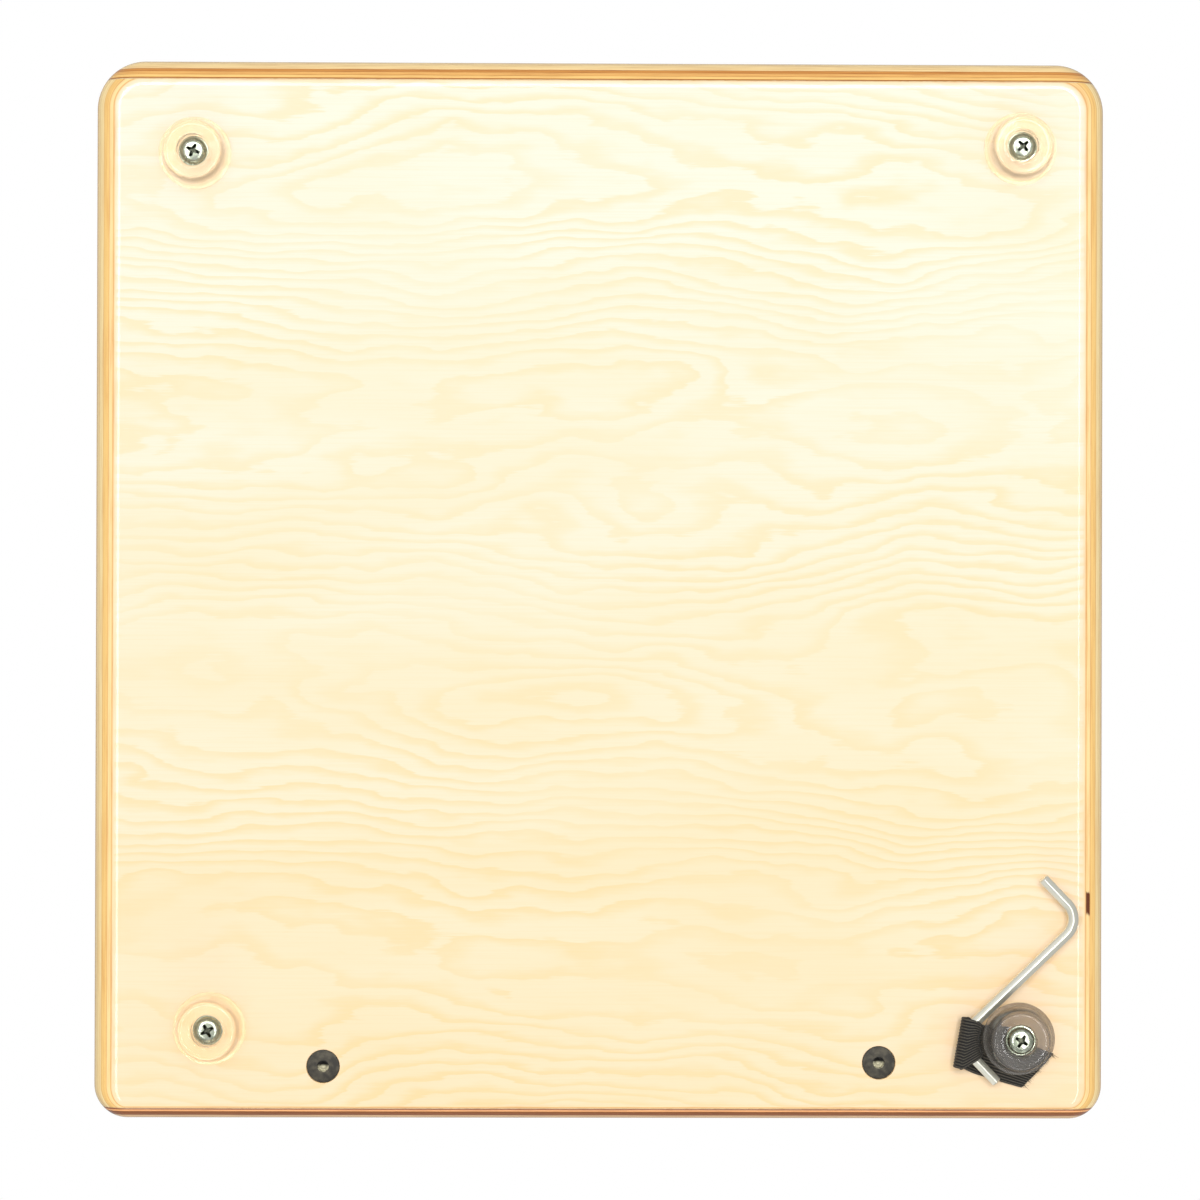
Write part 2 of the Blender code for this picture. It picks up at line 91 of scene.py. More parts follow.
class Graph:
    """One material's nodes, with short calls for the ones used here."""

    def __init__(self, name):
        self.material = bpy.data.materials.new(name)
        self.material.use_nodes = True
        self.tree = self.material.node_tree
        self.tree.nodes.clear()
        self.output = self.node("ShaderNodeOutputMaterial")

    def node(self, kind, **settings):
        made = self.tree.nodes.new(kind)
        for key, value in settings.items():
            setattr(made, key, value)
        return made

    def put(self, socket, value):
        if isinstance(value, bpy.types.NodeSocket):
            self.tree.links.new(value, socket)
        else:
            socket.default_value = value

    def math(self, operation, *values, clamp=False):
        made = self.node("ShaderNodeMath", operation=operation, use_clamp=clamp)
        for socket, value in zip(made.inputs, values):
            self.put(socket, value)
        return made.outputs[0]

    def spread(self, value, low, high, to_low=0.0, to_high=1.0, smooth=True):
        """Maps one range to another, held at its ends."""
        kind = "SMOOTHSTEP" if smooth else "LINEAR"
        made = self.node("ShaderNodeMapRange", interpolation_type=kind, clamp=True)
        for socket, given in zip(made.inputs, (value, low, high, to_low, to_high)):
            self.put(socket, given)
        return made.outputs[0]

    def place(self):
        """The point on the object, in millimetres, as three separate values."""
        coordinates = self.node("ShaderNodeTexCoord")
        scaled = self.node("ShaderNodeVectorMath", operation="SCALE")
        self.put(scaled.inputs[0], coordinates.outputs["Object"])
        scaled.inputs["Scale"].default_value = 1000.0
        split = self.node("ShaderNodeSeparateXYZ")
        self.put(split.inputs[0], scaled.outputs[0])
        return split.outputs[:3]

    def join(self, x, y, z):
        made = self.node("ShaderNodeCombineXYZ")
        for socket, value in zip(made.inputs, (x, y, z)):
            self.put(socket, value)
        return made.outputs[0]

    def noise(self, vector, scale=1.0, detail=3.0, roughness=0.5):
        made = self.node("ShaderNodeTexNoise")
        self.put(made.inputs["Vector"], vector)
        made.inputs["Scale"].default_value = scale
        made.inputs["Detail"].default_value = detail
        made.inputs["Roughness"].default_value = roughness
        return made.outputs["Fac"]

    def mix(self, factor, a, b, blend="MIX"):
        made = self.node("ShaderNodeMix", data_type="RGBA", blend_type=blend)
        for index, value in ((0, factor), (6, a), (7, b)):
            self.put(made.inputs[index], value)
        return made.outputs[2]

    def bump(self, height, strength, distance):
        made = self.node("ShaderNodeBump")
        self.put(made.inputs["Height"], height)
        made.inputs["Strength"].default_value = strength
        made.inputs["Distance"].default_value = distance
        return made.outputs[0]

    def shader(self, color, roughness, metallic=0.0, normal=None, **sockets):
        made = self.node("ShaderNodeBsdfPrincipled")
        self.put(made.inputs["Base Color"], color)
        self.put(made.inputs["Roughness"], roughness)
        made.inputs["Metallic"].default_value = metallic
        if normal:
            self.put(made.inputs["Normal"], normal)
        for name, value in sockets.items():
            made.inputs[name.replace("_", " ")].default_value = value
        return made.outputs[0]

    def blend(self, factor, first, second):
        made = self.node("ShaderNodeMixShader")
        for socket, value in zip(made.inputs, (factor, first, second)):
            self.put(socket, value)
        return made.outputs[0]

    def finish(self, surface):
        self.tree.links.new(surface, self.output.inputs["Surface"])
        return self.material


# ---------------------------------------------------------------- materials


def growth_lines(g, along, across, seed, half_wave, crest, rings, eyes=()):
    """Where growth rings show on a peeled face: 1 on a dark line, 0 between lines.

    The face dips in and out of the rings: crests lie `half_wave` apart across the grain, starting at
    `crest`, with `rings` rings each way between them. An eye is (along, across, length, width, rings).
    """

    def drift(along_rate, across_rate, amount, shift):
        spot = g.join(g.math("MULTIPLY", along, along_rate), g.math("MULTIPLY", across, across_rate),
                      seed + shift)
        return g.math("MULTIPLY", g.math("SUBTRACT", g.noise(spot, 1.0, 2.0, 0.45), 0.5), amount)

    moved = g.math("ADD", across, drift(0.0042, 0.006, 62.0, 0.0))
    turn = g.math("MULTIPLY", g.math("SUBTRACT", moved, crest), math.pi / half_wave)
    field = g.math("MULTIPLY", g.math("COSINE", turn), rings)
    for x, y, length, width, count in eyes:
        u = g.math("DIVIDE", g.math("SUBTRACT", along, x), length)
        v = g.math("DIVIDE", g.math("SUBTRACT", across, y), width)
        far = g.math("ADD", g.math("MULTIPLY", u, u), g.math("MULTIPLY", v, v))
        field = g.math("MULTIPLY_ADD", g.math("EXPONENT", g.math("MULTIPLY", far, -0.5)), count, field)
    for wobble in (drift(0.009, 0.022, 10.0, 5.0), drift(0.05, 0.14, 1.7, 9.0), drift(0.12, 1.6, 0.32, 13.0)):
        field = g.math("ADD", field, wobble)
    step = g.math("FRACT", g.math("ADD", field, 40.0))
    return g.math("MULTIPLY", g.spread(step, 0.3, 0.86), g.spread(step, 0.88, 1.0, 1.0, 0.0))


def ply_colors(g, depth, plies, glue):
    """A colour for each depth in the board. `plies` is (thickness in mm, colour) from the outer face."""
    total = sum(thickness for thickness, _ in plies)
    ramp = g.node("ShaderNodeValToRGB")
    g.put(ramp.inputs[0], g.math("DIVIDE", depth, total))
    stops, at, line = [], 0.0, 0.09
    for thickness, color in plies:
        stops += [(at + line, color), (at + thickness - line, color), (at + thickness, glue)]
        at += thickness
    elements = ramp.color_ramp.elements
    elements[0].position, elements[0].color = 0.0, plies[0][1]
    elements[1].position, elements[1].color = 1.0, plies[-1][1]
    for position, color in stops[:-1]:
        elements.new(position / total).color = color
    return ramp.outputs[0]


LACQUER = 0.8  # how much of the surface has the clear coat
WOOD_ROUGHNESS = (0.3, 0.42)  # under the coat
# Multiplied onto a board's face toward the playing plate: partly a warmer lacquer, partly painted shade where
# the light falls off.
VARNISH_AND_SHADE_TINT = rgb(255, 242, 221)
KNOT_FACE = (-140.0, -142.0)  # the knot shows on the edge beyond this, on the left


class Board:
    """How one plywood board is made and finished; lengths in millimetres.

    `knot` is a dark spot on the edge: from and to along the edge, its ply's depths, and its colour.
    The last argument sets how much yellower and darker the face turns toward the playing plate: partly a
    warmer lacquer, partly painted shade where the light falls off there.
    """

    def __init__(self, axis, outer, inward, plies, glue, grain, face, seed, half_wave=79.0, crest=0.0,
                 rings=6.5, eyes=(), knot=None, front_tint_and_shade=0.0):
        self.axis, self.outer, self.inward = axis, outer / MM, inward
        self.plies, self.glue, self.grain, self.face, self.seed = plies, glue, grain, face, seed
        self.half_wave, self.crest, self.rings, self.eyes = half_wave, crest, rings, eyes
        self.knot, self.front_tint_and_shade = knot, front_tint_and_shade


def plywood(name, board):
    """Lacquered plywood: grain on the two faces, and the plies wherever the edge is cut."""
    g = Graph(name)
    axes = dict(zip("xyz", g.place()))
    along, across = (axes[letter] for letter in board.grain)
    depth = g.math("MULTIPLY", g.math("SUBTRACT", axes[board.axis], board.outer), float(board.inward))
    total = sum(thickness for thickness, _ in board.plies)

    pale, line, blotch = board.face
    lines = growth_lines(g, along, across, board.seed, board.half_wave, board.crest, board.rings, board.eyes)
    strength = g.noise(g.join(g.math("MULTIPLY", along, 0.009), g.math("MULTIPLY", across, 0.02),
                              board.seed + 3), 1.0, 2.0)
    lines = g.math("MULTIPLY", lines, g.spread(strength, 0.3, 0.65, 0.25, 0.72))
    fibre = g.noise(g.join(g.math("MULTIPLY", along, 0.03), g.math("MULTIPLY", across, 1.7), board.seed),
                    1.0, 3.0, 0.6)
    patch = g.noise(g.join(g.math("MULTIPLY", along, 0.008), g.math("MULTIPLY", across, 0.03),
                           board.seed + 11), 1.0, 2.0)
    face_color = g.mix(g.spread(patch, 0.35, 0.7, 0.0, 0.6), pale, blotch)
    face_color = g.mix(lines, face_color, line)
    face_color = g.mix(g.spread(fibre, 0.4, 0.75, 0.0, 0.22), face_color, line)

    # yellower and darker toward the playing plate: partly a warmer lacquer, partly painted shade
    tint_and_shade_mask = g.spread(across, -150.0, 100.0, board.front_tint_and_shade, 0.0, smooth=False)
    face_color = g.mix(tint_and_shade_mask, face_color, VARNISH_AND_SHADE_TINT, "MULTIPLY")

    streak = g.noise(g.join(g.math("MULTIPLY", along, 0.05), g.math("MULTIPLY", across, 0.05),
                            g.math("MULTIPLY", depth, 3.0)), 1.0, 4.0, 0.65)
    edge_color = ply_colors(g, depth, board.plies, board.glue)
    edge_color = g.mix(g.spread(streak, 0.4, 0.75, 0.0, 0.4), edge_color, board.glue, "MULTIPLY")
    if board.knot:
        low, high, layer, color = board.knot
        ragged = g.math("MULTIPLY_ADD", streak, 5.0, axes["y"])
        blur = 0.08
        inside = g.math("MULTIPLY", g.spread(ragged, low, low + 1.2),
                        g.spread(ragged, high - 0.8, high, 1.0, 0.0))
        for value, start, end in ((axes["x"], *KNOT_FACE), (depth, layer[0], layer[0] + blur)):
            inside = g.math("MULTIPLY", inside, g.spread(value, start, end))
        inside = g.math("MULTIPLY", inside, g.spread(depth, layer[1] - blur, layer[1], 1.0, 0.0))
        edge_color = g.mix(inside, edge_color, color)
    from_face = g.math("MINIMUM", depth, g.math("SUBTRACT", total, depth))
    color = g.mix(g.spread(from_face, 0.04, 0.3), face_color, edge_color)

    roughness = g.spread(fibre, 0.3, 0.8, *WOOD_ROUGHNESS)
    surface = g.shader(color, roughness, normal=g.bump(fibre, 0.06, 0.0002), Specular_IOR_Level=0.15,
                       Coat_Weight=LACQUER, Coat_Roughness=0.06, Coat_IOR=1.45)
    return g.finish(surface)


def solid_wood(name, grain, pale, line, seed):
    """Planed, unfinished softwood."""
    g = Graph(name)
    x, y, z = g.place()
    axes = {"x": x, "y": y, "z": z}
    along, across = axes[grain[0]], g.math("ADD", axes[grain[1]], axes[grain[2]])
    figure = growth_lines(g, along, across, seed, 30.0, 0.0, 4.0)
    fibre = g.noise(g.join(g.math("MULTIPLY", along, 0.05), g.math("MULTIPLY", across, 3.0), seed), 1.0, 4.0)
    color = g.mix(g.math("MULTIPLY", figure, 0.7), pale, line)
    color = g.mix(g.spread(fibre, 0.4, 0.8, 0.0, 0.4), color, line)
    return g.finish(g.shader(color, 0.7, normal=g.bump(fibre, 0.25, 0.0003)))


def clear_rubber(name, tint, milk, share):
    """Soft clear plastic, a little milky, that lets light through to what it stands on."""
    g = Graph(name)
    x, y, z = g.place()
    haze = g.noise(g.join(x, y, z), 0.35, 3.0)
    clear = g.shader(tint, g.spread(haze, 0.3, 0.7, 0.04, 0.13), Transmission_Weight=1.0, IOR=1.36)
    milky = g.shader(milk, 0.4)
    through = g.node("ShaderNodeBsdfTransparent")
    through.inputs[0].default_value = rgb(251, 246, 238)
    rays = g.node("ShaderNodeLightPath")
    body = g.blend(share, clear, milky)
    return g.finish(g.blend(rays.outputs["Is Shadow Ray"], body, through.outputs[0]))


def plated_steel(name, tint, shade, low, high, scale):
    """Plated or blackened steel, with a fine mottle in its colour and gloss."""
    g = Graph(name)
    x, y, z = g.place()
    mottle = g.noise(g.join(x, y, z), scale, 4.0, 0.6)
    grain = g.noise(g.join(x, y, z), scale * 9, 2.0)
    color = g.mix(g.spread(mottle, 0.35, 0.7), tint, shade)
    surface = g.shader(color, g.spread(mottle, 0.3, 0.7, low, high), metallic=1.0,
                       normal=g.bump(grain, 0.12, 0.00005))
    return g.finish(surface)


def turned_black_steel():
    """Black oxide with the rings that the lathe left on the screw's face.

    Inside the socket one side has a painted highlight and the other painted shade, as its facets look lit
    from below.
    """
    g = Graph("black_oxide")
    x, y, z = g.place()
    far = g.math("SQRT", g.math("ADD", g.math("MULTIPLY", x, x), g.math("MULTIPLY", y, y)))
    wobble = g.noise(g.join(x, y, z), 0.6, 2.0)
    rings = g.noise(g.join(g.math("MULTIPLY_ADD", wobble, 0.4, far), 0.0, 0.0), 3.2, 3.0, 0.7)
    worn = g.noise(g.join(x, y, z), 0.45, 3.0)
    color = g.mix(g.spread(worn, 0.35, 0.7), rgb(40, 37, 29), rgb(72, 67, 54))
    # painted highlight on one side of the socket and painted shade on the other
    socket_highlight_and_shade = g.mix(g.spread(y, -0.5, 0.5), rgb(196, 190, 160), rgb(14, 13, 10))
    socket = g.spread(far, 1.56, 1.8, 1.0, 0.0)
    color = g.mix(socket, color, socket_highlight_and_shade)
    surface = g.shader(color, g.spread(rings, 0.3, 0.7, 0.38, 0.6), metallic=0.35,
                       normal=g.bump(rings, 0.35, 0.0002))
    return g.finish(surface)


def woven_elastic():
    """Black thread with a painted highlight on the tops of the ribs; the furrows keep the thread's black."""
    g = Graph("black_elastic")
    x, y, z = g.place()
    rib = g.node("ShaderNodeAttribute", attribute_name="rib").outputs["Fac"]
    thread = g.noise(g.join(g.math("MULTIPLY", x, 5.0), g.math("MULTIPLY", y, 1.4), z), 1.0, 3.0)
    # painted highlight: the rib tops are coloured lighter where they would catch the light
    rib_top_highlight = g.math("MULTIPLY", g.spread(rib, 0.6, 1.0), g.spread(thread, 0.3, 0.65, 0.45, 1.0))
    color = g.mix(rib_top_highlight, rgb(8, 7, 6), rgb(74, 69, 58))
    surface = g.shader(color, 0.75, normal=g.bump(thread, 0.4, 0.0002), Sheen_Weight=0.1, Sheen_Roughness=0.4)
    return g.finish(surface)


def one_sided_floor():
    """A pale floor for views from above. Light and the camera below pass through it. It glows evenly, with a
    painted shadow near what stands on it, taken from occlusion and not from the lamps.
    """
    g = Graph("studio_floor")
    rays, side = g.node("ShaderNodeLightPath"), g.node("ShaderNodeNewGeometry")
    seen = g.math("MULTIPLY", rays.outputs["Is Camera Ray"],
                  g.math("SUBTRACT", 1.0, side.outputs["Backfacing"]))
    clear = g.node("ShaderNodeBsdfTransparent")
    x, y, z = g.place()
    tone = g.mix(g.noise(g.join(x, y, z), 0.004, 2.0), rgb(236, 235, 232), rgb(241, 240, 238))
    # painted shadow: occlusion darkens the glowing floor near the drum
    shade = g.node("ShaderNodeAmbientOcclusion", samples=12)
    g.put(shade.inputs["Color"], tone)
    shade.inputs["Distance"].default_value = 0.3
    lit = g.node("ShaderNodeEmission")
    g.put(lit.inputs[0], shade.outputs["Color"])
    return g.finish(g.blend(seen, clear.outputs[0], lit.outputs[0]))


# ---------------------------------------------------------------- mesh helpers


def new_object(name, mesh, material, at=(0, 0, 0)):
    obj = bpy.data.objects.new(name, mesh)
    obj.location = at
    bpy.context.collection.objects.link(obj)
    if material:
        mesh.materials.clear()
        mesh.materials.append(material)
    return obj


def mesh_from(name, vertices, faces, smooth_angle=None):
    mesh = bpy.data.meshes.new(name)
    mesh.from_pydata([tuple(v) for v in vertices], [], faces)
    work = bmesh.new()
    work.from_mesh(mesh)
    bmesh.ops.recalc_face_normals(work, faces=work.faces)
    work.to_mesh(mesh)
    work.free()
    if smooth_angle:
        mesh.polygons.foreach_set("use_smooth", [True] * len(mesh.polygons))
        mesh.set_sharp_from_angle(angle=math.radians(smooth_angle))
    return mesh


def lathe(name, profile, material, at=(0, 0, 0), segments=96, ring=False, angle=40):
    """Turns (radius, z) points about an upright axis through `at`."""
    vertices, rows = [], []
    for radius, z in profile:
        if radius < 1e-7:
            rows.append([len(vertices)] * segments)
            vertices.append((0, 0, z))
            continue
        rows.append(list(range(len(vertices), len(vertices) + segments)))
        for k in range(segments):
            turn = 2 * math.pi * k / segments
            vertices.append((radius * math.cos(turn), radius * math.sin(turn), z))
    faces = []
    pairs = list(zip(rows, rows[1:])) + ([(rows[-1], rows[0])] if ring else [])
    for row, following in pairs:
        for k in range(segments):
            n = (k + 1) % segments
            corners = list(dict.fromkeys([row[k], row[n], following[n], following[k]]))
            if len(corners) > 2:
                faces.append(corners)
    return new_object(name, mesh_from(name, vertices, faces, angle), material, at)


def rounded(points, closed=False, steps=5):
    """Rounds a (radius, z, fillet) outline's corners. A fillet of 0 keeps the corner sharp."""
    made = []
    count = len(points)
    for k, (r, z, fillet) in enumerate(points):
        here = Vector((r, z))
        if fillet <= 0 or (not closed and k in (0, count - 1)):
            made.append((r, z))
            continue
        before = Vector(points[k - 1][:2])
        after = Vector(points[(k + 1) % count][:2])
        start = here + (before - here).normalized() * fillet
        end = here + (after - here).normalized() * fillet
        for s in range(steps + 1):
            t = s / steps
            spot = start * (1 - t) ** 2 + here * 2 * t * (1 - t) + end * t * t
            made.append((spot.x, spot.y))
    return made


def tube(name, rows, material, angle=40):
    """Joins rows of points, each the same count, into a closed skin."""
    count = len(rows[0])
    vertices = [v for row in rows for v in row]
    faces = []
    for i in range(len(rows) - 1):
        for k in range(count):
            n = (k + 1) % count
            a, b = i * count, (i + 1) * count
            faces.append((a + k, a + n, b + n, b + k))
    faces.append(tuple(range(count)))
    faces.append(tuple(range(len(vertices) - count, len(vertices))))
    return new_object(name, mesh_from(name, vertices, faces, angle), material)


def settle(obj):
    """Applies an object's modifiers to its mesh."""
    bpy.context.view_layer.update()
    graph = bpy.context.evaluated_depsgraph_get()
    mesh = bpy.data.meshes.new_from_object(obj.evaluated_get(graph))
    obj.modifiers.clear()
    old = obj.data
    obj.data = mesh
    bpy.data.meshes.remove(old)
    return obj


def combine(obj, other, operation="DIFFERENCE"):
    modifier = obj.modifiers.new(operation.lower(), "BOOLEAN")
    modifier.operation = operation
    modifier.solver = "EXACT"
    modifier.object = other
    settle(obj)


def discard(*objects):
    for obj in objects:
        bpy.data.objects.remove(obj, do_unlink=True)


def shade_board(obj):
    """Rounds shade smoothly and flat faces stay flat: their shared edges are kept sharp."""
    work = bmesh.new()
    work.from_mesh(obj.data)
    work.normal_update()

    def flat(face):
        return max(abs(c) for c in face.normal) > 0.99995

    for face in work.faces:
        face.smooth = True
    for edge in work.edges:
        faces = edge.link_faces
        if len(faces) == 2:
            bent = faces[0].normal.angle(faces[1].normal, 0) > math.radians(30)
            edge.smooth = not (bent or flat(faces[0]) != flat(faces[1]))
    work.to_mesh(obj.data)
    work.free()


def prism(name, outline, z_low, z_high, at=(0, 0, 0)):
    """An outline pulled up from one height to another."""
    count = len(outline)
    vertices = [(x, y, z_low) for x, y in outline]
    vertices += [(x, y, z_high) for x, y in outline]
    faces = [tuple(range(count)), tuple(range(count, 2 * count))]
    for k in range(count):
        n = (k + 1) % count
        faces.append((k, n, n + count, k + count))
    return new_object(name, mesh_from(name, vertices, faces), None, at)


def softened_copy(node, width, material, body, segments=3, angle=35):
    """A copy of a CAD node with its sharp edges eased, in place of the node."""
    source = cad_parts[node]
    obj = new_object(node + "_shown", source.data.copy(), material)
    weld = obj.modifiers.new("weld", "WELD")
    weld.merge_threshold = 0.00001
    bevel = obj.modifiers.new("bevel", "BEVEL")
    bevel.width = width
    bevel.segments = segments
    bevel.limit_method = "ANGLE"
    bevel.angle_limit = math.radians(angle)
    bevel.harden_normals = False
    settle(obj)
    obj.data.polygons.foreach_set("use_smooth", [True] * len(obj.data.polygons))
    obj.data.set_sharp_from_angle(angle=math.radians(angle))
    show(obj, body, node)
    return obj


def show(obj, body, *nodes):
    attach(obj, body)
    if nodes:
        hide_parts(*nodes)


# ---------------------------------------------------------------- the wooden box


def envelope(steps=20, corner_steps=24):
    """The finished outside of the box."""
    corners = [
        (1, 1, BACK_CORNER, 0),
        (-1, 1, BACK_CORNER, 90),
        (-1, -1, FRONT_CORNER, 180),
        (1, -1, FRONT_CORNER, 270),
    ]
    levels = []
    for k in range(steps + 1):
        turn = math.pi / 2 * k / steps
        levels.append((EDGE_ROUND * (1 - math.sin(turn)), EDGE_ROUND * (1 - math.cos(turn))))
    heights = [(inset, BOX_BOTTOM + rise) for inset, rise in levels]
    heights += [(inset, BOX_TOP - rise) for inset, rise in reversed(levels)]
    rows = []
    for inset, z in heights:
        row = []
        for sx, sy, radius, start in corners:
            cx = sx * (HALF_WIDTH - radius)
            cy = (BACK if sy > 0 else FRONT) - sy * radius
            for k in range(corner_steps + 1):
                turn = math.radians(start + 90 * k / corner_steps)
                inset_y = inset if sy > 0 else inset * FRONT_EASE / EDGE_ROUND
                x = cx + (radius - inset) * math.cos(turn)
                row.append((x, cy + (radius - inset_y) * math.sin(turn), z))
        rows.append(row)
    return tube("envelope", rows, None)


def block(name, low, high, material=None):
    corners = [(x, y, z) for x in (low[0], high[0]) for y in (low[1], high[1]) for z in (low[2], high[2])]
    faces = [(0, 1, 3, 2), (4, 6, 7, 5), (0, 4, 5, 1), (2, 3, 7, 6), (0, 2, 6, 4), (1, 5, 7, 3)]
    return new_object(name, mesh_from(name, corners, faces), material)


BIRCH_FACE = (rgb(238, 224, 204), rgb(236, 211, 167), rgb(237, 218, 188))
SIDE_FACE = (rgb(242, 220, 182), rgb(232, 198, 148), rgb(238, 212, 168))
BIRCH_GLUE = rgb(214, 158, 88)
BIRCH_LONG, BIRCH_CROSS = rgb(247, 222, 162), rgb(240, 198, 130)
BIRCH_PLIES = [
    (0.36, rgb(244, 216, 168)),
    (0.58, rgb(247, 214, 152)),
    (1.15, rgb(241, 200, 124)),
    (1.55, BIRCH_LONG),
    (1.4, BIRCH_LONG),
    (1.4, BIRCH_CROSS),
    (1.4, BIRCH_LONG),
    (1.4, BIRCH_CROSS),
    (1.4, BIRCH_LONG),
    (1.36, BIRCH_CROSS),
]


def make_boards():
    wide = HALF_WIDTH + MM
    shell = envelope()
    front_seam, back_seam = FRONT_INNER + SEAM, BACK_INNER - SEAM
    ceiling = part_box("seat_panel")[0][2]
    side_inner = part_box("right_side_panel")[0][0]
    specs = [
        ("bottom_panel", (-wide, front_seam, BOX_BOTTOM - MM), (wide, back_seam, FLOOR_TOP)),
        ("seat_panel", (-wide, front_seam, ceiling), (wide, back_seam, BOX_TOP + MM)),
        ("left_side_panel", (-wide, front_seam, FLOOR_TOP + SEAM), (-side_inner, back_seam, ceiling - SEAM)),
        ("right_side_panel", (side_inner, front_seam, FLOOR_TOP + SEAM), (wide, back_seam, ceiling - SEAM)),
        ("front_plate", (-wide, FRONT - MM, BOX_BOTTOM - MM), (wide, FRONT_INNER, BOX_TOP + MM)),
        ("back_panel", (-wide, BACK_INNER, BOX_BOTTOM - MM), (wide, BACK + MM, BOX_TOP + MM)),
    ]
    made = {}
    for node, low, high in specs:
        board = block(node + "_board", low, high, board_material(node))
        combine(board, shell, "INTERSECT")
        made[node] = board
    discard(shell)
    cut_screw_seats(made["bottom_panel"])
    cut_sound_hole(made["back_panel"])
    for node, board in made.items():
        shade_board(board)
        show(board, "box", node)


def board_material(node):
    birch = dict(plies=BIRCH_PLIES, glue=BIRCH_GLUE)
    knot = (-94.0, -86.4, (0.36, 0.94), rgb(96, 46, 14))
    eyes = ((21.0, -33.0, 38.0, 9.0, 2.6), (-104.0, -38.0, 24.0, 7.0, -2.0))
    boards = {
        "bottom_panel": Board("z", BOX_BOTTOM, 1, grain="xy", seed=4.2, crest=-33.0, eyes=eyes, knot=knot,
                              front_tint_and_shade=1.0, face=BIRCH_FACE, **birch),
        "seat_panel": Board("z", BOX_TOP, -1, grain="xy", seed=19.7, face=SIDE_FACE, **birch),
        "left_side_panel": Board("x", -HALF_WIDTH, 1, grain="zy", seed=31.1, face=SIDE_FACE, **birch),
        "right_side_panel": Board("x", HALF_WIDTH, -1, grain="zy", seed=47.5, face=SIDE_FACE, **birch),
        "front_plate": Board(
            "y", FRONT, 1, grain="zx", seed=63.0, half_wave=60.0, rings=5.0, glue=rgb(140, 76, 34),
            plies=[(1.3, rgb(232, 190, 140)), (1.2, rgb(146, 88, 46)), (0.6, rgb(250, 182, 118)),
                   (0.5, rgb(134, 70, 32))],
            face=(rgb(226, 190, 142), rgb(196, 150, 98), rgb(214, 172, 120)),
        ),
        "back_panel": Board(
            "y", BACK, -1, grain="zx", seed=78.0, half_wave=66.0, rings=5.0, glue=rgb(170, 104, 42),
            plies=[(2.75, rgb(250, 220, 158)), (0.85, rgb(206, 142, 70)), (1.0, rgb(230, 176, 100)),
                   (0.9, rgb(242, 198, 120)), (0.5, rgb(160, 98, 42))],
            face=(rgb(238, 214, 166), rgb(220, 180, 118), rgb(230, 198, 142)),
        ),
    }
    return plywood(node.replace("panel", "wood"), boards[node])


def cut_screw_seats(panel):
    """The countersunk holes of the tension screws."""
    for side in ("left", "right"):
        centre, radius, _, _ = measured(f"tension_screw_{side}")
        seat = radius + 0.15 * MM
        shank = 2.8 * MM
        lip = 0.55 * MM  # keeps the cone of the seat clear of the screw's
        profile = [(0, -MM), (seat, -MM), (seat, lip), (shank, lip + seat - shank)]
        profile += [(shank, 13 * MM), (0, 13 * MM)]
        cutter = lathe("seat_cutter", profile, None, (centre.x, centre.y, BOX_BOTTOM))
        combine(panel, cutter)
        discard(cutter)


def cut_sound_hole(panel):
    """A round hole with its outer rim eased."""
    r, ease = SOUND_HOLE_RADIUS, 2.0 * MM
    depth = BACK - BACK_INNER
    outline = [(0, -MM, 0), (r, -MM, 0), (r, depth - ease, 0)]
    for k in range(1, 7):
        turn = math.pi / 2 * k / 6
        outline.append((r + ease * (1 - math.cos(turn)), depth - ease + ease * math.sin(turn), 0))
    outline += [(r + ease, depth + MM, 0), (0, depth + MM, 0)]
    cutter = lathe("hole_cutter", [p[:2] for p in outline], None, segments=160)
    cutter.rotation_euler = (-math.pi / 2, 0, 0)
    cutter.location = (0, BACK_INNER, SOUND_HOLE_HEIGHT)
    combine(panel, cutter)
    discard(cutter)


def measured(node):
    """A turned node's axis, widest radius, lowest and highest points."""
    low, high = (Vector(corner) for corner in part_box(node))
    return (low + high) / 2, (high.x - low.x) / 2, low.z, high.z


def make_battens():
    pale, line = rgb(232, 200, 150), rgb(196, 148, 92)
    for k, (node, grain) in enumerate(
        (
            ("front_bottom_batten", "xyz"),
            ("front_top_batten", "xyz"),
            ("front_left_batten", "zxy"),
            ("front_right_batten", "zxy"),
        )
    ):
        softened_copy(node, 0.8 * MM, solid_wood(f"pine_{k}", grain, pale, line, 90.0 + 7 * k), "box")


# ---------------------------------------------------------------- feet


def cross_outline(reach, arm, root):
    """Four tapered arms, wide at the root and narrow at the tip."""
    quarter = [(reach, -arm / 2), (reach, arm / 2), (root, root)]
    outline = []
    for k in range(4):
        c, s = math.cos(k * math.pi / 2), math.sin(k * math.pi / 2)
        outline += [(c * x - s * y, s * x + c * y) for x, y in quarter]
    return outline


def make_feet(rubber, shaded_rubber, zinc, recess):
    """The foot that presses on the dark elastic gets a darker copy of the clear rubber: painted shade
    standing in for the black elastic seen through it.
    """
    # The recess zinc is darker: painted shade for the screws' cross recesses.
    turns = {"back_right": 24, "back_left": 48, "front_right": 62, "front_left": 30}
    for place, turn in turns.items():
        make_foot(place, shaded_rubber if place == "front_left" else rubber, zinc, recess, math.radians(turn))


